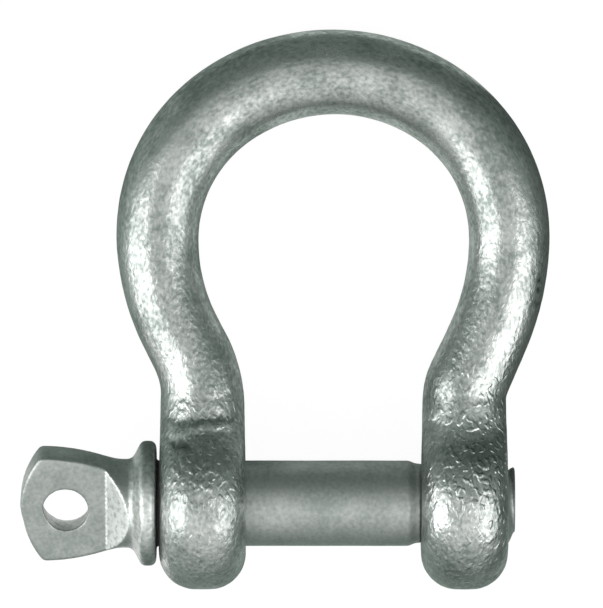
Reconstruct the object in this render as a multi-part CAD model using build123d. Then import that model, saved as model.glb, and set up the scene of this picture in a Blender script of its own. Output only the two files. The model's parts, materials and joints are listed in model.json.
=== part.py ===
from build123d import *
from math import asin, atan, atan2, cos, degrees, pi, radians, sin, sqrt, tan
import os

# A 10 mm harp shackle in galvanised steel: a forged bow with two ears, and a forged screw pin.
# Millimetres. X runs along the pin, from its head (-X) to its screwed end (+X), Y from the pin
# to the crown of the bow, and Z up. The origin is on the pin's axis, midway between the ears.
# The shackle lies on its side, on both ears and the crown, so its plane leans a little.

# Shank of the pin: plain through the left ear, screwed into the right one
shank_diameter = 10.0
thread_diameter = 9.3
shank_running_clearance = 0.06
thread_running_clearance = 0.05
shoulder_setback = 1.4
shoulder_length = 0.9
tip_stand_out = 0.75
tip_chamfer = 0.6

# Collar of the pin, drawn up against the left ear: a rounded rim with a sloping back
collar_diameter = 14.6
collar_rim_width = 1.75
collar_back_angle = 28.0
collar_edge_radius = 0.8
collar_gap = 0.2

# Head of the pin: the bar's end swelled out, flattened on two sides and pierced with an eye
neck_diameter = 10.4
neck_length = 1.0
neck_fillet = 1.0
swell_length = 9.6
swell_hollow_share = 0.18
head_diameter = 13.7
head_length = 13.0
head_end_radius = 10.5
head_corner_radius = 0.8
tab_thickness = 4.0
tab_length = 9.95
tab_ramp_angle = 50.0
tab_edge_radius = 0.4
eye_diameter = 5.2
eye_end_distance = 5.3
head_turn = 24.0

# Ears: round forged cheeks with a rolled rim, flaring into the bar
jaw_width = 20.2
ear_diameter = 20.2
ear_thickness = 10.25
ear_rim_radius = 4.3
ear_flare_radius = 6.5
ear_sections = 7
bore_chamfer = 0.3

# Bow: one round bar in arcs that run into each other. Its sides are not quite alike: the left
# one has the wider bend above its ear, and the stouter shoulder.
inside_length = 40.15
bow_inside_width = 31.4
leg_diameter = 9.9
flank_diameter = 9.5
left_shoulder_diameter = 10.0
right_shoulder_diameter = 9.65
crown_diameter = 10.0
crown_half_angle = 35.0
shoulder_inset = 1.85
left_bend_inside_radius = 7.0
left_straight_length = 2.8
right_bend_inside_radius = 1.1
right_straight_length = 5.0

# Places that follow from the sizes above
ear_radius = ear_diameter / 2
ear_inner_x = jaw_width / 2
ear_outer_x = ear_inner_x + ear_thickness
leg_x = ear_inner_x + ear_thickness / 2
side_x = bow_inside_width / 2 + flank_diameter / 2
crown_y = shank_diameter / 2 + inside_length + crown_diameter / 2
neck_y = sqrt((ear_radius + ear_flare_radius) ** 2 - (leg_diameter / 2 + ear_flare_radius) ** 2)
rest_tilt = degrees(asin((ear_diameter - crown_diameter) / 2 / crown_y))
collar_seat_x = -ear_outer_x - collar_gap
collar_back_height = (collar_diameter - neck_diameter) / 2
rim_back_x = collar_seat_x - collar_rim_width
collar_back_x = rim_back_x - collar_back_height * tan(radians(collar_back_angle))
head_end_x = collar_back_x - head_length
ramp_x = head_end_x + tab_length


def arc_point(centre, radius, angle):
    return (centre[0] + radius * cos(angle), centre[1] + radius * sin(angle))


def half_bow_points(bend_inside_radius, straight_length, side):
    """One side of the bar's centre line, from the leg to the crown; side is -1 left or 1 right."""
    turn = radians(crown_half_angle)
    bend_radius = bend_inside_radius + leg_diameter / 2
    shoulder_radius = side_x - shoulder_inset
    crown_radius = shoulder_radius + shoulder_inset / sin(turn)
    crown_centre = (0, crown_y - crown_radius)
    shoulder_centre = (shoulder_inset, crown_centre[1] + (crown_radius - shoulder_radius) * cos(turn))
    spread = side_x - leg_x
    rise = shoulder_centre[1] - neck_y
    both_radii = (spread**2 + rise**2 - straight_length**2) / (2 * spread)
    flank_radius = both_radii - bend_radius
    lean = atan2(rise, both_radii - spread) - atan2(straight_length, both_radii)
    flank_centre = (side_x - flank_radius, shoulder_centre[1])
    bend_centre = (leg_x + bend_radius, neck_y)
    points = {
        "leg": (leg_x, neck_y),
        "bend": arc_point(bend_centre, bend_radius, pi - lean / 2),
        "bend_end": arc_point(bend_centre, bend_radius, pi - lean),
        "flank_start": arc_point(flank_centre, flank_radius, -lean),
        "flank": arc_point(flank_centre, flank_radius, -lean / 2),
        "side": (side_x, shoulder_centre[1]),
        "shoulder": arc_point(shoulder_centre, shoulder_radius, (pi / 2 - turn) / 2),
        "crown_start": arc_point(crown_centre, crown_radius, pi / 2 - turn),
    }
    return {name: (side * x, y) for name, (x, y) in points.items()}


def bow_path():
    """The whole centre line, from the left leg over the crown to the right leg."""
    left = half_bow_points(left_bend_inside_radius, left_straight_length, -1)
    right = half_bow_points(right_bend_inside_radius, right_straight_length, 1)
    return Wire(
        [
            ThreePointArc(left["leg"], left["bend"], left["bend_end"]).edge(),
            Line(left["bend_end"], left["flank_start"]).edge(),
            ThreePointArc(left["flank_start"], left["flank"], left["side"]).edge(),
            ThreePointArc(left["side"], left["shoulder"], left["crown_start"]).edge(),
            ThreePointArc(left["crown_start"], (0, crown_y), right["crown_start"]).edge(),
            ThreePointArc(right["crown_start"], right["shoulder"], right["side"]).edge(),
            ThreePointArc(right["side"], right["flank"], right["flank_start"]).edge(),
            Line(right["flank_start"], right["bend_end"]).edge(),
            ThreePointArc(right["bend_end"], right["bend"], right["leg"]).edge(),
        ]
    )


def bar():
    """The round bar, swept through sections at its legs and in the middle of each other arc."""
    path = bow_path()
    left_bend, left_straight, *arcs, right_straight, right_bend = [e.length for e in path.edges()]
    diameters = [
        flank_diameter,
        left_shoulder_diameter,
        crown_diameter,
        right_shoulder_diameter,
        flank_diameter,
    ]
    stations = {0: leg_diameter, path.length: leg_diameter}
    start = left_bend + left_straight
    for arc, diameter in zip(arcs, diameters):
        stations[start + arc / 2] = diameter
        start += arc
    sections = []
    for place in sorted(stations):
        share = place / path.length
        across = Plane(origin=path @ share, x_dir=(0, 0, 1), z_dir=path % share)
        sections.append(across * Circle(stations[place] / 2))
    return sweep(sections, path, multisection=True)


def ear_half_width(y):
    """Half of the ear's width across the pin, at a distance y along the leg."""
    if y < neck_y * ear_radius / (ear_radius + ear_flare_radius):
        return sqrt(ear_radius**2 - y**2)
    return leg_diameter / 2 + ear_flare_radius - sqrt(ear_flare_radius**2 - (neck_y - y) ** 2)


def leg_section(corner_angle=6):
    """The round leg in eight arcs, which meet the sides and corners of the ear's sections."""
    arcs = []
    for quarter in (0, 90, 180, 270):
        side = CenterArc((0, 0), leg_diameter / 2, quarter - corner_angle, 2 * corner_angle)
        corner = CenterArc((0, 0), leg_diameter / 2, quarter + corner_angle, 90 - 2 * corner_angle)
        arcs += [side.edge(), corner.edge()]
    return make_face(Wire(arcs))


def ear(x):
    """A cheek with a rolled rim, and the flare that draws it in to the round leg."""
    sections = []
    for step in range(ear_sections):
        share = step / ear_sections
        y = neck_y * share
        half_width = ear_half_width(y)
        thickness = ear_thickness + (leg_diameter - ear_thickness) * share
        corner = ear_rim_radius + (leg_diameter / 2 - ear_rim_radius) * share**2
        corner = min(corner, 0.99 * half_width, 0.99 * thickness / 2)
        plane = Plane(origin=(x, y, 0), x_dir=(0, 0, 1), z_dir=(0, 1, 0))
        sections.append(plane * RectangleRounded(2 * half_width, thickness, corner))
    sections.append(Plane(origin=(x, neck_y, 0), x_dir=(0, 0, 1), z_dir=(0, 1, 0)) * leg_section())
    rim = Pos(0, ear_radius / 2) * Rectangle(ear_thickness, ear_radius)
    rim = Plane.XZ * fillet(rim.vertices().group_by(Axis.Y)[-1], ear_rim_radius)
    cheek = revolve(rim, Axis.X, 180)
    return Pos(x, 0, 0) * cheek + loft(sections)


def bore(x, radius):
    """The hole through one ear, with a small chamfer at both mouths."""
    half = ear_thickness / 2
    mouth = radius + bore_chamfer
    outline = Polyline(
        (-half, 0),
        (-half, mouth),
        (-half + bore_chamfer, radius),
        (half - bore_chamfer, radius),
        (half, mouth),
        (half, 0),
        close=True,
    )
    return Pos(x, 0, 0) * revolve(make_face(outline), Axis.X)


def bow():
    """The forging in one piece, bored plain through the left ear and for the thread in the right."""
    forging = bar() + ear(-leg_x) + ear(leg_x)
    plain_bore = bore(-leg_x, shank_diameter / 2 + shank_running_clearance)
    screwed_bore = bore(leg_x, thread_diameter / 2 + thread_running_clearance)
    return forging - plain_bore - screwed_bore


def swell_points():
    """Middle and end of the hollow, then of the round, that swell the neck out to the head."""
    rise = (head_diameter - neck_diameter) / 2
    turn = 2 * atan(rise / swell_length)
    both_radii = swell_length / sin(turn)
    hollow = both_radii * swell_hollow_share
    neck_x = collar_back_x - neck_length
    full_x = neck_x - swell_length
    hollow_centre = (neck_x, neck_diameter / 2 + hollow)
    round_centre = (full_x, head_diameter / 2 - both_radii + hollow)
    return {
        "neck": (neck_x, neck_diameter / 2),
        "hollow": arc_point(hollow_centre, hollow, -pi / 2 - turn / 2),
        "between": arc_point(hollow_centre, hollow, -pi / 2 - turn),
        "round": arc_point(round_centre, both_radii - hollow, pi / 2 - turn / 2),
        "full": (full_x, head_diameter / 2),
    }


def pin_blank():
    """The pin as turned from one bar: swelled head, neck, collar, shank and screwed end."""
    swell = swell_points()
    shoulder_x = ear_inner_x - shoulder_setback
    tip_x = ear_outer_x + tip_stand_out
    collar = [(rim_back_x, collar_diameter / 2), (collar_seat_x, collar_diameter / 2)]
    root = (collar_back_x, neck_diameter / 2)
    outline = [
        Line((head_end_x, 0), (head_end_x, head_diameter / 2)),
        Line((head_end_x, head_diameter / 2), swell["full"]),
        ThreePointArc(swell["full"], swell["round"], swell["between"]),
        ThreePointArc(swell["between"], swell["hollow"], swell["neck"]),
        Polyline(
            swell["neck"],
            root,
            *collar,
            (collar_seat_x, shank_diameter / 2),
            (shoulder_x, shank_diameter / 2),
            (shoulder_x + shoulder_length, thread_diameter / 2),
            (tip_x - tip_chamfer, thread_diameter / 2),
            (tip_x, thread_diameter / 2 - tip_chamfer),
            (tip_x, 0),
            (head_end_x, 0),
        ),
    ]
    profile = make_face(outline)

    # The rim and the back of the collar have room for the rolled edge and for the neck's fillet
    edge_radius = min(collar_edge_radius, 0.5 * collar_rim_width, 0.5 * collar_back_height)
    root_radius = min(neck_fillet, 0.7 * (collar_back_height - edge_radius), 0.9 * neck_length)
    collar_edges = [profile.vertices().sort_by_distance(corner)[0] for corner in collar]
    profile = fillet(collar_edges, edge_radius)
    profile = fillet(profile.vertices().sort_by_distance(root)[0], root_radius)
    return revolve(profile, Axis.X)


def tab_cutter():
    """What the press takes off above the tab: down to its flat, with a ramp up past the neck."""
    flat = tab_thickness / 2
    top = head_diameter
    ramp_top = head_diameter / 2
    ramp_end_x = ramp_x + (ramp_top - flat) / tan(radians(tab_ramp_angle))
    outline = Polyline(
        (head_end_x - 1, flat),
        (ramp_x, flat),
        (ramp_end_x, ramp_top),
        (ramp_end_x, top),
        (head_end_x - 1, top),
        close=True,
    )
    return extrude(Plane.XZ * make_face(outline), head_diameter, both=True)


def soften_tab(pin):
    """Rounds the two corners of the tab's end, then the rims of its flats as far as the ramps."""
    flat = tab_thickness / 2
    tiny = 0.01
    upright = pin.edges().filter_by_position(Axis.Z, -flat / 2, flat / 2)
    pin = fillet(upright.group_by(Axis.X)[0], head_corner_radius)
    for z in (-flat, flat):
        rim = pin.edges().filter_by_position(Axis.Z, z - tiny, z + tiny)
        rim = rim.filter_by_position(Axis.X, head_end_x - tiny, ramp_x - tiny)
        pin = fillet(rim, tab_edge_radius)
    return pin


def screw_pin():
    """The pin with its head flattened, its end rounded off and its eye pierced, then turned."""
    cutter = tab_cutter()
    pin = pin_blank() - cutter - mirror(cutter, Plane.XY)
    end = Pos(head_end_x + head_end_radius, 0, 0) * Cylinder(head_end_radius, head_diameter)
    beyond = Pos(head_end_x, 0, 0) * Box(head_end_radius, 2 * head_diameter, head_diameter)
    pin = soften_tab(pin - (beyond - end))
    eye_x = head_end_x + eye_end_distance
    pin -= Pos(eye_x, 0, 0) * Cylinder(eye_diameter / 2, head_diameter)
    return Rot(head_turn, 0, 0) * pin


at_rest = Rot(-rest_tilt, 0, 0)
nodes = {
    "bow": at_rest * bow(),
    "screw_pin": at_rest * screw_pin(),
}
os.makedirs("parts", exist_ok=True)
for name, solid in nodes.items():
    export_step(solid, f"parts/{name}.step")
    print(name, solid.is_valid, round(solid.volume, 1), solid.bounding_box())
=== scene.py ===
import json
import math

import bmesh
import bpy
import numpy as np
from mathutils import Matrix, Vector


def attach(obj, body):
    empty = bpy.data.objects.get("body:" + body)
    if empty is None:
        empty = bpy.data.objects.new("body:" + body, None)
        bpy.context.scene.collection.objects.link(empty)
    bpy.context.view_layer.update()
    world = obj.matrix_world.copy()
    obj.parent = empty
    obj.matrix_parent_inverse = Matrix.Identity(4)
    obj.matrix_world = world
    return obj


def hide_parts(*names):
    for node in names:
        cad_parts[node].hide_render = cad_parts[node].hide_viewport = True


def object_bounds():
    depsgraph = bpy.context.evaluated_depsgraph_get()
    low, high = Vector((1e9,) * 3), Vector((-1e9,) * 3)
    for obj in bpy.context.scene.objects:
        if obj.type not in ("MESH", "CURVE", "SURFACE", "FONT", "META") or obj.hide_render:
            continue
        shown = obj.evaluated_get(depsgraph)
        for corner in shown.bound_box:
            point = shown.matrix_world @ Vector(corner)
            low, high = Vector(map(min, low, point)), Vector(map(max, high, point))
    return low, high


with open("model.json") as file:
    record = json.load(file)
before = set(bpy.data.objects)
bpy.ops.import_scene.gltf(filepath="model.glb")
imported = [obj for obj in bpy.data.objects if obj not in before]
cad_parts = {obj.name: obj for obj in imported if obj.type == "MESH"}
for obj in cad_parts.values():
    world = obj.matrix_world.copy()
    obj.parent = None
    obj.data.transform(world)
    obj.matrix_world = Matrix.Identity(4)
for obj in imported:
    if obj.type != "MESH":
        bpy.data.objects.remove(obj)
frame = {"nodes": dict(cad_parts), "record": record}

cad_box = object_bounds()
MM = 0.001
scene = bpy.context.scene
scene.view_settings.view_transform = "Standard"
mounts = {mount["name"]: mount for mount in frame["record"]["mounts"]}

# Camera: it looks squarely at the plane of the bow. The shackle lies on both ears and on the
# crown, which is thinner than the ears, so that plane leans down a little towards the crown.
along_pin = Vector((1, 0, 0))
to_crown = -Vector(mounts["crown_seat"]["axis"])
out_of_plane = along_pin.cross(to_crown)
camera_distance = 1.0
sensor_width = 36
image_pixels = (603, 608)
pixels_per_mm = 8.6
pin_centre_pixel = (333.4, 503.2)
aim = along_pin * ((image_pixels[0] / 2 - pin_centre_pixel[0]) / pixels_per_mm * MM)
aim += to_crown * ((pin_centre_pixel[1] - image_pixels[1] / 2) / pixels_per_mm * MM)
camera = bpy.data.objects.new("camera", bpy.data.cameras.new("camera"))
camera.data.sensor_width = sensor_width
camera.data.lens = sensor_width * camera_distance / (max(image_pixels) / pixels_per_mm * MM)
camera.data.clip_end = 10
turned = Matrix((along_pin, to_crown, out_of_plane)).transposed().to_4x4()
camera.matrix_world = Matrix.Translation(aim + out_of_plane * camera_distance) @ turned
scene.collection.objects.link(camera)
scene.camera = camera


# Table: plain white paper. The camera and the metal see it white, and it still takes the soft
# shadow of the shackle.
def add_node(tree, kind, inputs=None, **settings):
    """A new node, with its settings made and its inputs linked or filled in."""
    made = tree.nodes.new(kind)
    for name, value in settings.items():
        setattr(made, name, value)
    for socket, value in (inputs or {}).items():
        if isinstance(value, bpy.types.NodeSocket):
            tree.links.new(value, made.inputs[socket])
        else:
            made.inputs[socket].default_value = value
    return made


def add_math(tree, operation, *values):
    """The result of a Math node."""
    return add_node(tree, "ShaderNodeMath", dict(enumerate(values)), operation=operation).outputs[0]


table_radius = 6.0
table_corners = 64
paper_white = (0.8, 0.8, 0.8, 1)
paper_glow = 0.9
glow_strength = 1.06
table_mesh = bpy.data.meshes.new("table")
around = [step * math.tau / table_corners for step in range(table_corners)]
rim = [(table_radius * math.cos(a), table_radius * math.sin(a), cad_box[0].z) for a in around]
table_mesh.from_pydata(rim, [], [range(table_corners)])
table = bpy.data.objects.new("table", table_mesh)
scene.collection.objects.link(table)
paper = bpy.data.materials.new("white paper")
paper.use_nodes = True
tree = paper.node_tree
tree.nodes.clear()
ray = add_node(tree, "ShaderNodeLightPath")
seen = add_math(tree, "MAXIMUM", ray.outputs["Is Camera Ray"], ray.outputs["Is Glossy Ray"])
seen = add_math(tree, "MAXIMUM", seen, ray.outputs["Is Transmission Ray"])
share = add_math(tree, "MULTIPLY", seen, paper_glow)
matt = add_node(tree, "ShaderNodeBsdfDiffuse", {"Color": paper_white})
glow = add_node(tree, "ShaderNodeEmission", {"Color": (1, 1, 1, 1), "Strength": glow_strength})
both = add_node(tree, "ShaderNodeMixShader", {0: share, 1: matt.outputs[0], 2: glow.outputs[0]})
add_node(tree, "ShaderNodeOutputMaterial", {"Surface": both.outputs[0]})
table_mesh.materials.append(paper)


# Light: a soft box on each side, the left one brighter, in a room that is brightest above the
# pin and darkest beyond the crown. Grey cards on the floor give the metal its darker edges.
def soft_box(name, direction, width, height, radiance):
    """A rectangle of light that faces the shackle."""
    distance = 0.7
    lamp = bpy.data.lights.new(name, "AREA")
    lamp.shape = "RECTANGLE"
    lamp.size = width
    lamp.size_y = height
    lamp.energy = radiance * math.pi * width * height
    place = Vector(direction).normalized() * distance
    towards_shackle = place.to_track_quat("Z", "Y").to_matrix().to_4x4()
    holder = bpy.data.objects.new(name, lamp)
    holder.matrix_world = Matrix.Translation(place) @ towards_shackle
    holder.visible_camera = False
    scene.collection.objects.link(holder)


soft_box("left soft box", (-0.85, -0.1, 0.52), width=0.5, height=0.74, radiance=2.6)
soft_box("right soft box", (0.755, -0.2, 0.62), width=0.54, height=0.78, radiance=1.65)


def grey_card(name, grey, corner_a, corner_b):
    """A grey card between two corners in millimetres, flat or upright, that only reflections see.
    The darker it is, the greener."""
    green = 0.12 * (1 - grey)
    paint = bpy.data.materials.new(name)
    paint.use_nodes = True
    coat = paint.node_tree.nodes["Principled BSDF"]
    coat.inputs["Base Color"].default_value = (grey * (1 - green), grey * (1 + green), grey, 1)
    coat.inputs["Roughness"].default_value = 0.9
    a = Vector(corner_a) * MM
    b = Vector(corner_b) * MM
    if a.z == b.z:
        corners = [a, (b.x, a.y, a.z), b, (a.x, b.y, a.z)]
    else:
        corners = [a, (b.x, b.y, a.z), b, (a.x, a.y, b.z)]
    mesh = bpy.data.meshes.new(name)
    mesh.from_pydata(corners, [], [(0, 1, 2, 3)])
    mesh.materials.append(paint)
    card = bpy.data.objects.new(name, mesh)
    card.visible_camera = False
    card.visible_diffuse = False
    card.visible_transmission = False
    card.visible_shadow = False
    scene.collection.objects.link(card)


# The paper is left free around the head of the pin, whose ramps and eye reflect it.
card_height = cad_box[0].z / MM + 0.2
flat_cards = {
    "right card": (0.12, (34, -300), (500, 500)),
    "far card": (0.16, (-60, 62), (34, 500)),
    "near card": (0.24, (-60, -300), (34, -18)),
    "pin card": (0.36, (-24, -18), (34, 7)),
    "inner card": (0.36, (-60, 7), (-6, 62)),
    "middle card": (0.7, (-6, 7), (20, 62)),
    "inner right card": (0.12, (20, 7), (34, 62)),
    "left card": (0.5, (-500, 7), (-60, 500)),
    "near left card": (0.5, (-500, -300), (-60, -60)),
}
for name, (grey, corner_a, corner_b) in flat_cards.items():
    grey_card(name, grey, (*corner_a, card_height), (*corner_b, card_height))
grey_card("far wall", 0.16, (-500, 450, card_height), (500, 450, 500))


def map_range(tree, value, ends, results=(0.0, 1.0), soft=False):
    """The value carried from one pair of ends to another, and held past them."""
    sockets = {
        "Value": value,
        "From Min": ends[0],
        "From Max": ends[1],
        "To Min": results[0],
        "To Max": results[1],
    }
    kind = "SMOOTHSTEP" if soft else "LINEAR"
    return add_node(tree, "ShaderNodeMapRange", sockets, interpolation_type=kind).outputs[0]


def mix_colour(tree, share, first, second):
    """The first colour, with a share of the second."""
    sockets = {"Factor": share, "A": first, "B": second}
    return add_node(tree, "ShaderNodeMix", sockets, data_type="RGBA").outputs["Result"]


room_dark = (0.22, 0.28, 0.25, 1)
room_bright = (1.1, 1.12, 1.1, 1)
brightest_way = Vector((0, -0.43, 0.9)).normalized()
dark_below = 0.1
backdrop_strength = 1.03
room = bpy.data.worlds.new("room")
scene.world = room
room.use_nodes = True
tree = room.node_tree
tree.nodes.clear()
way = add_node(tree, "ShaderNodeTexCoord").outputs["Generated"]
toward = add_node(tree, "ShaderNodeVectorMath", {0: way, 1: brightest_way}, operation="DOT_PRODUCT")
rise = map_range(tree, toward.outputs["Value"], (dark_below, 1.0))
rise = add_math(tree, "POWER", rise, 2.0)
wash = mix_colour(tree, rise, room_dark, room_bright)
around_shackle = add_node(tree, "ShaderNodeBackground", {"Color": wash})
white = add_node(
    tree, "ShaderNodeBackground", {"Color": (1, 1, 1, 1), "Strength": backdrop_strength}
)
seen = add_node(tree, "ShaderNodeLightPath").outputs["Is Camera Ray"]
both = add_node(
    tree, "ShaderNodeMixShader", {0: seen, 1: around_shackle.outputs[0], 2: white.outputs[0]}
)
add_node(tree, "ShaderNodeOutputWorld", {"Surface": both.outputs[0]})


# Zinc: the coat that both pieces got in the bath. It froze in small scales over slow waves, it is
# dull and a little green where it was thin, and it shines where it was thick.
def add_sockets(tree, inputs, outputs):
    """The named sockets of a node group, with the default of each input."""
    for name, (kind, value) in inputs.items():
        socket = tree.interface.new_socket(name, in_out="INPUT", socket_type=kind)
        if value is not None:
            socket.default_value = value
    for name, kind in outputs.items():
        tree.interface.new_socket(name, in_out="OUTPUT", socket_type=kind)


def zinc_skin_group():
    """Colour, roughness and height of frozen zinc, laid out along the bars that it covers."""
    patch_offset = -0.7
    scales_to_specks = 0.83
    tree = bpy.data.node_groups.new("zinc skin", "ShaderNodeTree")
    inputs = {
        "Lay": ("NodeSocketVector", None),
        "Light": ("NodeSocketColor", (0.5, 0.52, 0.51, 1)),
        "Dull": ("NodeSocketColor", (0.3, 0.34, 0.32, 1)),
        "Patches per Metre": ("NodeSocketFloat", 250),
        "Patch Contrast": ("NodeSocketFloat", 2.4),
        "Specks per Metre": ("NodeSocketFloat", 2300),
        "Speck Contrast": ("NodeSocketFloat", 2),
        "Beads per Metre": ("NodeSocketFloat", 1650),
        "Smoothest": ("NodeSocketFloat", 0.26),
        "Roughest": ("NodeSocketFloat", 0.44),
    }
    outputs = {
        "Colour": "NodeSocketColor",
        "Roughness": "NodeSocketFloat",
        "Scales": "NodeSocketFloat",
        "Beads": "NodeSocketFloat",
    }
    add_sockets(tree, inputs, outputs)
    given = add_node(tree, "NodeGroupInput").outputs

    def noise(rate, detail, roughness=0.5, distortion=0.0):
        sockets = {
            "Vector": given["Lay"],
            "Scale": rate,
            "Detail": detail,
            "Roughness": roughness,
            "Distortion": distortion,
        }
        return add_node(tree, "ShaderNodeTexNoise", sockets).outputs["Fac"]

    patches = noise(given["Patches per Metre"], detail=4, roughness=0.6)
    specks = noise(given["Specks per Metre"], detail=1.5)
    scales_per_metre = add_math(tree, "MULTIPLY", given["Specks per Metre"], scales_to_specks)
    scales = noise(scales_per_metre, detail=1.5, distortion=0.35)
    beads = noise(given["Beads per Metre"], detail=0.4, distortion=0.25)
    beads = map_range(tree, beads, (0.5, 0.74), soft=True)

    # The patches set the tone, about a half, and the specks swing it up and down.
    patches = add_math(tree, "MULTIPLY_ADD", patches, given["Patch Contrast"], patch_offset)
    half_contrast = add_math(tree, "MULTIPLY", given["Speck Contrast"], -0.5)
    tone = add_math(tree, "MULTIPLY_ADD", specks, given["Speck Contrast"], half_contrast)
    tone = add_math(tree, "ADD", tone, patches)
    tone = add_node(tree, "ShaderNodeClamp", {"Value": tone}).outputs[0]
    results = {
        "Colour": mix_colour(tree, tone, given["Dull"], given["Light"]),
        "Roughness": map_range(tree, tone, (0.0, 1.0), (given["Roughest"], given["Smoothest"])),
        "Scales": scales,
        "Beads": beads,
    }
    add_node(tree, "NodeGroupOutput", results)
    return tree


zinc_skin = zinc_skin_group()
# Painted shade: the dark colour that the zinc's colour is mixed towards where the shade mark is set.
painted_shade_colour = (0.1, 0.12, 0.11, 1)
# Painted highlight: where its mark is set, the zinc takes this roughness and a brighter, speckled
# colour.
highlight_roughness = 0.4
highlight_speck_contrast = 2.6
highlight_speck_offset = -0.4


def galvanised(
    name, light, dull, bright, patches, specks, contrast, smoothest, roughest,
    scale_depth, bead_height,
):
    """A galvanised finish: its scales are deeper where the piece is pebbly, the zinc ran together in
    beads where it is beaded, and its colour carries a painted highlight, brighter and speckled and
    with its own roughness, and painted shade, darker, where those marks are stored."""
    material = bpy.data.materials.new(name)
    material.use_nodes = True
    tree = material.node_tree

    def stored(attribute, output="Fac"):
        return add_node(tree, "ShaderNodeAttribute", attribute_name=attribute).outputs[output]

    sockets = {
        "Lay": stored("lay", "Vector"),
        "Light": (*light, 1),
        "Dull": (*dull, 1),
        "Patches per Metre": patches,
        "Specks per Metre": specks,
        "Speck Contrast": contrast,
        "Smoothest": smoothest,
        "Roughest": roughest,
    }
    skin = add_node(tree, "ShaderNodeGroup", sockets, node_tree=zinc_skin).outputs
    painted_highlight = stored("painted_highlight")
    # A painted highlight mixes the colour towards the bright colour, speckled by the scales, and
    # painted shade mixes it towards the dark shade colour.
    speckled_highlight = add_math(tree, "MULTIPLY_ADD", skin["Scales"], highlight_speck_contrast, highlight_speck_offset)
    speckled_highlight = add_math(tree, "MULTIPLY", speckled_highlight, painted_highlight)
    colour = mix_colour(tree, speckled_highlight, skin["Colour"], (*bright, 1))
    colour = mix_colour(tree, stored("painted_shade"), colour, painted_shade_colour)
    roughness = map_range(tree, painted_highlight, (0.0, 1.0), (skin["Roughness"], highlight_roughness))
    scales = add_math(tree, "MULTIPLY", skin["Scales"], stored("pebbly"))
    scales = add_math(tree, "MULTIPLY", scales, scale_depth)
    beads = add_math(tree, "MULTIPLY", skin["Beads"], stored("beaded"))
    height = add_math(tree, "MULTIPLY_ADD", beads, bead_height, scales)
    bump = add_node(tree, "ShaderNodeBump", {"Height": height, "Distance": 1})
    metal = tree.nodes["Principled BSDF"]
    metal.inputs["Metallic"].default_value = 1
    tree.links.new(colour, metal.inputs["Base Color"])
    tree.links.new(roughness, metal.inputs["Roughness"])
    tree.links.new(bump.outputs["Normal"], metal.inputs["Normal"])
    return material


def zinc_relief(tree, given, place, pebbly):
    """How deep the zinc lies at each point: slow waves, and pebbles where it is pebbly."""
    noise = {"Vector": place, "W": given["Seed"], "Detail": 1}
    waves = add_node(
        tree, "ShaderNodeTexNoise",
        {**noise, "Scale": given["Waves per Metre"]},
        noise_dimensions="4D",
    )
    pebbles = add_node(
        tree, "ShaderNodeTexNoise",
        {**noise, "Scale": given["Pebbles per Metre"], "Roughness": 0.45, "Distortion": 0.5},
        noise_dimensions="4D",
    )
    wave_depth = add_math(tree, "MULTIPLY", waves.outputs["Fac"], given["Wave Depth"])
    pebble_depth = add_math(tree, "MULTIPLY", pebbly, given["Pebble Depth"])
    return add_math(tree, "MULTIPLY_ADD", pebbles.outputs["Fac"], pebble_depth, wave_depth)


def pebbly_share(tree, given, split):
    """How pebbly each point is: fully on the ears, and less towards the crown."""
    ends = (given["Pebbly Below"], given["Smooth Above"])
    return map_range(tree, split["Y"], ends, (1.0, given["Least Pebbly"]), soft=True)


def beaded_share(tree, given, split):
    """How beaded each point is: most on the outer shoulder of the right ear."""
    high_up = 0.1
    off_shoulder = 0.4
    sidewise = (given["Beaded From"], given["Beaded To"])
    outer = map_range(tree, split["X"], sidewise, (given["Least Beaded"], 1.0))
    upwise = (given["Beads End at"], given["Beads Full Below"])
    low_down = map_range(tree, split["Y"], upwise, (high_up, 1.0))
    from_shoulder = add_math(tree, "SUBTRACT", split["Y"], given["Shoulder at"])
    from_shoulder = add_math(tree, "ABSOLUTE", from_shoulder)
    shoulder = (given["Shoulder Reach"], given["Shoulder End"])
    on_shoulder = map_range(tree, from_shoulder, shoulder, (1.0, off_shoulder))
    beaded = add_math(tree, "MULTIPLY", outer, low_down)
    return add_math(tree, "MULTIPLY", beaded, on_shoulder)


def painted_highlight_and_shade(tree, given, split, facing):
    """Painted highlight on the ramps, which face the head's end, and less of it from neck to collar.
    Painted shade on the two sides of the collar that face along Y."""
    least_lean = -0.5
    collar_highlight = 0.6
    collar_shade = 0.85
    leaning = add_math(tree, "LESS_THAN", facing["X"], least_lean)
    past_tab = add_math(tree, "GREATER_THAN", split["X"], given["Ramp From"])
    before_neck = add_math(tree, "LESS_THAN", split["X"], given["Ramp To"])
    before_gap = add_math(tree, "LESS_THAN", split["X"], given["Collar To"])
    ramp = add_math(tree, "MULTIPLY", past_tab, before_neck)
    ramp = add_math(tree, "MULTIPLY", ramp, leaning)
    collar = add_math(tree, "SUBTRACT", before_gap, before_neck)
    painted_highlight = add_math(tree, "MULTIPLY_ADD", collar, collar_highlight, ramp)
    upright = add_math(tree, "MULTIPLY", facing["Y"], facing["Y"])
    painted_shade = add_math(tree, "MULTIPLY", collar, upright)
    painted_shade = add_math(tree, "MULTIPLY", painted_shade, collar_shade)
    return painted_highlight, painted_shade


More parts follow.
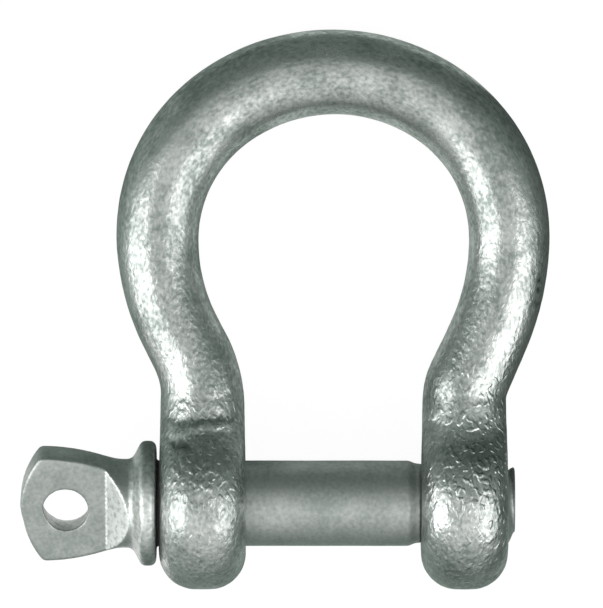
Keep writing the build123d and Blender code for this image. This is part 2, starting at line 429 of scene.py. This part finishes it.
def zinc_lay(tree, given, split):
    """The lay of the zinc: across the bar and along it, round the bend and then straight down."""
    past_bend = add_math(tree, "SUBTRACT", split["Y"], given["Bent Above"])
    round_part = add_math(tree, "MAXIMUM", past_bend, 0.0)
    straight_part = add_math(tree, "MINIMUM", past_bend, 0.0)
    from_centre = add_node(tree, "ShaderNodeCombineXYZ", {0: split["X"], 1: round_part}).outputs[0]
    across = add_node(tree, "ShaderNodeVectorMath", {0: from_centre}, operation="LENGTH")
    angle = add_math(tree, "ARCTAN2", split["X"], round_part)
    side = add_math(tree, "SIGN", split["X"])
    down = add_math(tree, "MULTIPLY", straight_part, side)
    along = add_math(tree, "MULTIPLY", angle, given["Bend Radius"])
    along = add_math(tree, "SUBTRACT", along, down)
    along = add_math(tree, "DIVIDE", along, given["Stretch"])
    sockets = {0: across.outputs["Value"], 1: along, 2: split["Z"]}
    return add_node(tree, "ShaderNodeCombineXYZ", sockets).outputs[0]


def set_position(tree, mesh, direction, distance):
    """The mesh with its points moved a distance along a direction."""
    step = {0: direction, "Scale": distance}
    offset = add_node(tree, "ShaderNodeVectorMath", step, operation="SCALE").outputs[0]
    moved = add_node(tree, "GeometryNodeSetPosition", {"Geometry": mesh, "Offset": offset})
    return moved.outputs[0]


def give_out(tree, mesh, finish):
    """Ends a tree: instances made real, the material set and the mesh given out."""
    whole = add_node(tree, "GeometryNodeRealizeInstances", {"Geometry": mesh}).outputs[0]
    finished = add_node(tree, "GeometryNodeSetMaterial", {"Geometry": whole, "Material": finish})
    add_node(tree, "NodeGroupOutput", {"Mesh": finished.outputs[0]})


def frozen_zinc_tree():
    """Slow waves and pebbles pressed into a mesh, deepest where it is pebbly, and its finish."""
    tree = bpy.data.node_groups.new("frozen zinc", "GeometryNodeTree")
    inputs = {
        "Mesh": ("NodeSocketGeometry", None),
        "Waves per Metre": ("NodeSocketFloat", 150),
        "Wave Depth": ("NodeSocketFloat", 0.1 * MM),
        "Pebbles per Metre": ("NodeSocketFloat", 900),
        "Pebble Depth": ("NodeSocketFloat", 0.06 * MM),
        "Pebbly Below": ("NodeSocketFloat", 20 * MM),
        "Smooth Above": ("NodeSocketFloat", 45 * MM),
        "Least Pebbly": ("NodeSocketFloat", 0.35),
        "Beaded From": ("NodeSocketFloat", 12.5 * MM),
        "Beaded To": ("NodeSocketFloat", 15.5 * MM),
        "Least Beaded": ("NodeSocketFloat", 0.45),
        "Beads Full Below": ("NodeSocketFloat", 12 * MM),
        "Beads End at": ("NodeSocketFloat", 22 * MM),
        "Shoulder at": ("NodeSocketFloat", 6.5 * MM),
        "Shoulder Reach": ("NodeSocketFloat", 2.5 * MM),
        "Shoulder End": ("NodeSocketFloat", 6 * MM),
        "Ramp From": ("NodeSocketFloat", 1),
        "Ramp To": ("NodeSocketFloat", 1),
        "Collar To": ("NodeSocketFloat", 1),
        "Bent Above": ("NodeSocketFloat", 1),
        "Bend Radius": ("NodeSocketFloat", 20 * MM),
        "Stretch": ("NodeSocketFloat", 1),
        "Finish": ("NodeSocketMaterial", None),
        "Seed": ("NodeSocketFloat", 0),
    }
    add_sockets(tree, inputs, {"Mesh": "NodeSocketGeometry"})
    given = add_node(tree, "NodeGroupInput").outputs
    place = add_node(tree, "GeometryNodeInputPosition").outputs[0]
    normal = add_node(tree, "GeometryNodeInputNormal").outputs["Normal"]
    split = add_node(tree, "ShaderNodeSeparateXYZ", {0: place}).outputs
    facing = add_node(tree, "ShaderNodeSeparateXYZ", {0: normal}).outputs
    pebbly = pebbly_share(tree, given, split)
    # The pin's marks of painted highlight and painted shade, stored with the other values.
    painted_highlight, painted_shade = painted_highlight_and_shade(tree, given, split, facing)
    kept_values = {
        "pebbly": ("FLOAT", pebbly),
        "beaded": ("FLOAT", beaded_share(tree, given, split)),
        "painted_highlight": ("FLOAT", painted_highlight),
        "painted_shade": ("FLOAT", painted_shade),
        "lay": ("FLOAT_VECTOR", zinc_lay(tree, given, split)),
    }
    depth = zinc_relief(tree, given, place, pebbly)
    inward = add_math(tree, "MULTIPLY", depth, -1)
    mesh = set_position(tree, given["Mesh"], normal, inward)
    for name, (kind, value) in kept_values.items():
        mesh = add_node(
            tree, "GeometryNodeStoreNamedAttribute",
            {"Geometry": mesh, "Name": name, "Value": value},
            domain="POINT",
            data_type=kind,
        ).outputs[0]
    give_out(tree, mesh, given["Finish"])
    return tree


frozen_zinc = frozen_zinc_tree()


def nodes_modifier(piece, tree, values):
    """Puts a geometry node tree on a piece, with its named inputs set."""
    modifier = piece.modifiers.new(tree.name, "NODES")
    modifier.node_group = tree
    for item in tree.interface.items_tree:
        if item.in_out == "INPUT" and item.name in values:
            modifier[item.identifier] = values[item.name]


def bare_copy(node, name, face_size):
    """The node's solid as a mesh of even small faces, which can take the relief of the zinc."""
    mesh = frame["nodes"][node].data.copy()
    mesh.name = name
    mesh.materials.clear()
    work = bmesh.new()
    work.from_mesh(mesh)
    bmesh.ops.remove_doubles(work, verts=work.verts, dist=0.001 * MM)
    work.to_mesh(mesh)
    work.free()
    piece = bpy.data.objects.new(name, mesh)
    scene.collection.objects.link(piece)
    remesh = piece.modifiers.new("even faces", "REMESH")
    remesh.mode = "VOXEL"
    remesh.voxel_size = face_size
    remesh.use_smooth_shade = True
    piece.modifiers.new("smooth", "SMOOTH").iterations = 3
    return piece


def applied(piece):
    """Turns the object with its modifiers into a plain mesh."""
    shown = piece.evaluated_get(bpy.context.evaluated_depsgraph_get())
    mesh = bpy.data.meshes.new_from_object(shown)
    piece.modifiers.clear()
    piece.data = mesh


# Bow: one forging of round bar, bent to the harp shape, with both ends flattened into ears and
# bored for the pin. The zinc on it is pebbly on the legs and ears, and smoother over the crown.
bow_zinc = galvanised(
    "galvanised bow",
    light=(0.6, 0.61, 0.6), dull=(0.25, 0.28, 0.265), bright=(0.74, 0.76, 0.74),
    patches=260, specks=2500, contrast=1.9, smoothest=0.27, roughest=0.44,
    scale_depth=0.08 * MM, bead_height=0.17 * MM,
)
bow = bare_copy("bow", "forged_bow", face_size=0.3 * MM)
bend_centre = 31 * MM
nodes_modifier(
    bow, frozen_zinc,
    {"Seed": 3.0, "Bent Above": bend_centre, "Stretch": 1.5, "Finish": bow_zinc},
)
applied(bow)


def press(piece, marks):
    """Presses valleys into the upper side of a piece along lines of points in millimetres, or raises
    it where the depth is negative, and paints a highlight or shade into the zinc's colour along
    them: a highlight where the amount is positive, shade where it is negative."""
    count = len(piece.data.vertices)
    places = np.empty(count * 3)
    normals = np.empty(count * 3)
    piece.data.vertices.foreach_get("co", places)
    piece.data.vertices.foreach_get("normal", normals)
    places = places.reshape(-1, 3)
    normals = normals.reshape(-1, 3)

    # The lines wander by a tenth of a millimetre, as a fold in forged metal does.
    spots = places[:, :2] / MM
    swapped = spots[:, ::-1]
    slow_bends = 0.12 * np.sin(3.1 * swapped + 1)
    quick_bends = 0.07 * np.sin(8.3 * swapped)
    spots = spots + (slow_bends + quick_bends)
    painted_light_and_shade = np.zeros(count)
    for line, depth, width, shade in marks:
        away = np.full(count, np.inf)
        for start, end in zip(line, line[1:]):
            run = np.subtract(end, start)
            share = np.clip((spots - start) @ run / (run @ run), 0, 1)
            away = np.minimum(away, np.linalg.norm(spots - start - share[:, None] * run, axis=1))
        pressed = np.exp(-((away / width) ** 2)) * (normals[:, 2] > 0)
        places -= normals * (depth * MM * pressed)[:, None]
        # Positive amounts paint a highlight, negative ones paint shade.
        painted_light_and_shade += shade * pressed
    piece.data.vertices.foreach_set("co", places.ravel())
    piece.data.attributes["painted_highlight"].data.foreach_set("value", np.clip(painted_light_and_shade, 0, 1))
    piece.data.attributes["painted_shade"].data.foreach_set("value", np.clip(-painted_light_and_shade, 0, 1))
    piece.data.update()


# Where the ears were forged out of the bars, the metal folded into laps, mostly on the left leg.
# Each mark is a line, its depth and width in millimetres and how much painted highlight (above zero)
# or painted shade (below zero) goes along it; the laps' valleys get painted shade and their ridges a
# painted highlight.
left_leg_laps = [
    ([(-19.2, 10.1), (-17.4, 9.8), (-14.4, 10.4), (-11.6, 10.2)], 0.1, 0.5, -0.5),
    ([(-16.4, 9.1), (-14.4, 9.4), (-12.2, 9.1)], -0.26, 0.4, 0.9),
    ([(-18.8, 8.6), (-16.9, 8.4)], -0.16, 0.4, 0.9),
    ([(-18.5, 7.5), (-16.9, 7.3)], 0.1, 0.5, -0.7),
]
# On the left ear: painted shade in a band across its top, a painted highlight on a small spot and on
# its left highlight blob, and a little painted shade on its right highlight blob.
left_ear_patches = [
    ([(-18.4, 6.3), (-12.4, 6.6)], 0, 1.7, -0.3),
    ([(-15.5, 2.0), (-14.6, 2.8)], -0.05, 0.25, 0.6),
    ([(-18.0, -0.9), (-18.0, 0.5)], 0, 1.5, 0.5),
    ([(-13.0, -1.6), (-13.0, 0)], 0, 1.3, -0.1),
]
# The fold over the right ear: a painted highlight along the top, along the pressed valley below it
# and along the raised ridge under that.
right_ear_fold = [
    ([(11.5, 10.2), (18.8, 10.2)], 0, 0.9, 0.6),
    ([(12.0, 9.6), (14.3, 9.1), (17.5, 8.9), (19.0, 9.3)], 0.12, 0.6, 0.5),
    ([(12.3, 9.1), (14.3, 8.6), (17.5, 8.5), (19.0, 8.8)], -0.1, 0.25, 0.3),
]
# On the right ear: painted shade over its top, on its right highlight blob and near its bottom.
right_ear_patches = [
    ([(16.6, 7.0), (19.4, 5.9)], 0, 1.3, -0.4),
    ([(12.6, 6.6), (15.6, 6.4)], 0, 1.4, -0.15),
    ([(17.0, -2.0), (17.4, 0)], 0, 1.3, -0.08),
    ([(13.6, -7.1), (15.8, -7.5)], 0, 1.0, -0.4),
]
# Painted highlights on the lower legs.
leg_painted_highlights = [
    ([(-17.9, 14.5), (-17.7, 11.2)], 0, 1.2, 0.4),
    ([(17.0, 14.5), (17.0, 11.2)], 0, 1.4, 0.35),
    ([(13.3, 14.5), (13.1, 11.2)], 0, 0.8, 0.35),
]
# Pits in the right flank, with painted shade in them.
right_flank_pits = [
    ([(24.0, 26.05), (23.9, 25.85)], 0.12, 0.18, -1.5),
    ([(23.85, 24.95), (23.85, 24.7)], 0.12, 0.18, -1.5),
    ([(23.3, 23.25), (23.6, 23.15)], 0.05, 0.35, -0.6),
]
left_marks = left_leg_laps + left_ear_patches
right_marks = right_ear_fold + right_ear_patches
press(bow, left_marks + right_marks + leg_painted_highlights + right_flank_pits)
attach(bow, "bow")
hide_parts("bow")


# Ear thread: the ridge that the tap left in the bore of the right ear, cut after the zinc bath.
# It winds between the turns of the pin's thread.
def ear_thread_tree():
    """A ridge of triangular section, its edge inwards, wound round X as a right-hand thread."""
    tree = bpy.data.node_groups.new("ear thread", "GeometryNodeTree")
    inputs = {
        "Mesh": ("NodeSocketGeometry", None),
        "Pitch": ("NodeSocketFloat", 1.5 * MM),
        "Groove at": ("NodeSocketFloat", 20 * MM),
        "From": ("NodeSocketFloat", 10 * MM),
        "To": ("NodeSocketFloat", 20 * MM),
        "Root Radius": ("NodeSocketFloat", 4.9 * MM),
        "Ridge Height": ("NodeSocketFloat", 0.8 * MM),
        "Points": ("NodeSocketInt", 300),
        "Finish": ("NodeSocketMaterial", None),
    }
    add_sockets(tree, inputs, {"Mesh": "NodeSocketGeometry"})
    given = add_node(tree, "NodeGroupInput").outputs
    line = add_node(tree, "GeometryNodeCurvePrimitiveLine", {"Start": (0, 0, 0), "End": (1, 0, 0)})
    points = add_node(
        tree, "GeometryNodeResampleCurve", {"Curve": line.outputs[0], "Count": given["Points"]}
    )
    share = add_node(tree, "GeometryNodeSplineParameter").outputs["Factor"]
    along = map_range(tree, share, (0.0, 1.0), (given["From"], given["To"]))
    turns = add_math(tree, "SUBTRACT", along, given["Groove at"])
    turns = add_math(tree, "DIVIDE", turns, given["Pitch"])
    angle = add_math(tree, "MULTIPLY", turns, math.tau)
    cosine = add_math(tree, "COSINE", angle)
    sine = add_math(tree, "SINE", angle)
    beside = add_math(tree, "MULTIPLY", cosine, given["Root Radius"])
    above = add_math(tree, "MULTIPLY", sine, given["Root Radius"])
    spot = add_node(tree, "ShaderNodeCombineXYZ", {0: along, 1: beside, 2: above})
    wound = add_node(
        tree, "GeometryNodeSetPosition", {"Geometry": points.outputs[0], "Position": spot.outputs[0]}
    )
    outward = add_node(tree, "ShaderNodeCombineXYZ", {1: cosine, 2: sine})
    upright = add_node(
        tree, "GeometryNodeSetCurveNormal",
        {"Curve": wound.outputs[0], "Normal": outward.outputs[0]},
        mode="FREE",
    )
    section = add_node(
        tree, "GeometryNodeCurvePrimitiveCircle", {"Resolution": 3, "Radius": given["Ridge Height"]}
    )
    edge_in = add_node(
        tree, "GeometryNodeTransform", {"Geometry": section.outputs[0], "Rotation": (0, 0, math.pi)}
    )
    ridge = add_node(
        tree, "GeometryNodeCurveToMesh",
        {"Curve": upright.outputs[0], "Profile Curve": edge_in.outputs[0], "Fill Caps": True},
    )
    give_out(tree, ridge.outputs[0], given["Finish"])
    return tree


thread_pitch = 1.5 * MM
thread_crest = 20.3 * MM
ear_thread = bpy.data.objects.new("ear_thread", bpy.data.meshes.new("ear_thread"))
scene.collection.objects.link(ear_thread)
nodes_modifier(
    ear_thread, ear_thread_tree(),
    {
        "Pitch": thread_pitch,
        "Groove at": thread_crest,
        "From": 10.95 * MM,
        "To": 19.5 * MM,
        "Finish": bow_zinc,
    },
)
applied(ear_thread)
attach(ear_thread, "bow")


# Screw pin: one forging, with a flattened head pierced with an eye, a collar, a plain shank and a
# screwed end. Its zinc is thin, dull and even, with a painted highlight on the ramps behind the flat
# head and from neck to collar, and painted shade on the sides of the collar.
def rolled_thread_tree():
    """A right-hand thread pressed into the end of a rod that lies along the X axis."""
    tree = bpy.data.node_groups.new("rolled thread", "GeometryNodeTree")
    inputs = {
        "Mesh": ("NodeSocketGeometry", None),
        "Pitch": ("NodeSocketFloat", 1.5 * MM),
        "Crest at": ("NodeSocketFloat", 20 * MM),
        "Depth": ("NodeSocketFloat", 0.75 * MM),
        "Crest Half": ("NodeSocketFloat", 0.06),
        "Root from": ("NodeSocketFloat", 0.42),
        "Run-out From": ("NodeSocketFloat", 9.9 * MM),
        "Run-out To": ("NodeSocketFloat", 11 * MM),
        "Core From": ("NodeSocketFloat", 3.2 * MM),
        "Core To": ("NodeSocketFloat", 4.1 * MM),
        "Finish": ("NodeSocketMaterial", None),
    }
    add_sockets(tree, inputs, {"Mesh": "NodeSocketGeometry"})
    given = add_node(tree, "NodeGroupInput").outputs
    place = add_node(tree, "GeometryNodeInputPosition").outputs[0]
    split = add_node(tree, "ShaderNodeSeparateXYZ", {0: place}).outputs
    angle = add_math(tree, "ARCTAN2", split["Z"], split["Y"])
    turn = add_math(tree, "MULTIPLY_ADD", angle, -1 / math.tau, 0.5)
    from_crest = add_math(tree, "SUBTRACT", split["X"], given["Crest at"])
    phase = add_math(tree, "DIVIDE", from_crest, given["Pitch"])
    phase = add_math(tree, "ADD", phase, turn)
    groove = add_math(tree, "PINGPONG", phase, 0.5)
    groove = map_range(tree, groove, (given["Crest Half"], given["Root from"]))
    run_out = (given["Run-out From"], given["Run-out To"])
    full = map_range(tree, split["X"], run_out, soft=True)
    off_axis = {0: place, 1: (0, 1, 1)}
    sideways = add_node(tree, "ShaderNodeVectorMath", off_axis, operation="MULTIPLY").outputs[0]
    radius = add_node(tree, "ShaderNodeVectorMath", {0: sideways}, operation="LENGTH")
    skin = map_range(tree, radius.outputs["Value"], (given["Core From"], given["Core To"]))
    cut = add_math(tree, "MULTIPLY", groove, given["Depth"])
    cut = add_math(tree, "MULTIPLY", cut, full)
    cut = add_math(tree, "MULTIPLY", cut, skin)
    inward = add_math(tree, "MULTIPLY", cut, -1)
    outward = add_node(tree, "ShaderNodeVectorMath", {0: sideways}, operation="NORMALIZE")
    pressed = set_position(tree, given["Mesh"], outward.outputs[0], inward)
    give_out(tree, pressed, given["Finish"])
    return tree


pin_zinc = galvanised(
    "galvanised pin",
    light=(0.46, 0.47, 0.46), dull=(0.31, 0.34, 0.325), bright=(0.88, 0.9, 0.88),
    patches=300, specks=2300, contrast=1.5, smoothest=0.4, roughest=0.56,
    scale_depth=0.08 * MM, bead_height=0,
)
pin = bare_copy("screw_pin", "forged_screw_pin", face_size=0.18 * MM)
nodes_modifier(
    pin, rolled_thread_tree(),
    {"Pitch": thread_pitch, "Crest at": thread_crest, "Finish": pin_zinc},
)
nodes_modifier(
    pin, frozen_zinc,
    {
        "Seed": 8.0,
        "Wave Depth": 0.05 * MM,
        "Pebble Depth": 0.03 * MM,
        "Pebbly Below": -20 * MM,
        "Smooth Above": -10 * MM,
        "Ramp From": -26.5 * MM,
        "Ramp To": -23.7 * MM,
        "Collar To": -20.5 * MM,
        "Bent Above": -1.0,
        "Bend Radius": 1.0,
        "Finish": pin_zinc,
    },
)
applied(pin)


def finish_head(piece, eye):
    """Flares the back of the eye, where the punch broke through, and trims the lower end of the
    head. The sizes are in millimetres."""
    flare_width = 0.45
    flare_start = 0.6
    flare_depth = 2.4
    flare_reach = 4.0
    flare_fade = 1.4
    trim_depth = 0.26
    trim_start = -31
    trim_length = 3
    trim_width = 2
    places = np.empty(len(piece.data.vertices) * 3)
    piece.data.vertices.foreach_get("co", places)
    places = places.reshape(-1, 3)
    axis = np.array(eye["axis"])
    if axis[2] < 0:
        axis = -axis
    from_eye = places - np.array(eye["pos_m"])
    depth = from_eye @ axis / MM
    sideways = from_eye - np.outer(depth * MM, axis)
    radius = np.linalg.norm(sideways, axis=1) / MM
    flare = flare_width * np.clip((flare_start - depth) / flare_depth, 0, 1) ** 2
    flare *= np.clip((flare_reach - radius) / flare_fade, 0, 1)
    places += sideways / np.maximum(radius, 0.1)[:, None] * flare[:, None]
    trim = trim_depth * np.clip(-places[:, 1] / MM / trim_width, 0, 1)
    trim *= np.clip((trim_start - places[:, 0] / MM) / trim_length, 0, 1)
    places[:, 0] += trim * MM
    piece.data.vertices.foreach_set("co", places.ravel())
    piece.data.update()


finish_head(pin, mounts["eye"])
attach(pin, "screw_pin")
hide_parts("screw_pin")
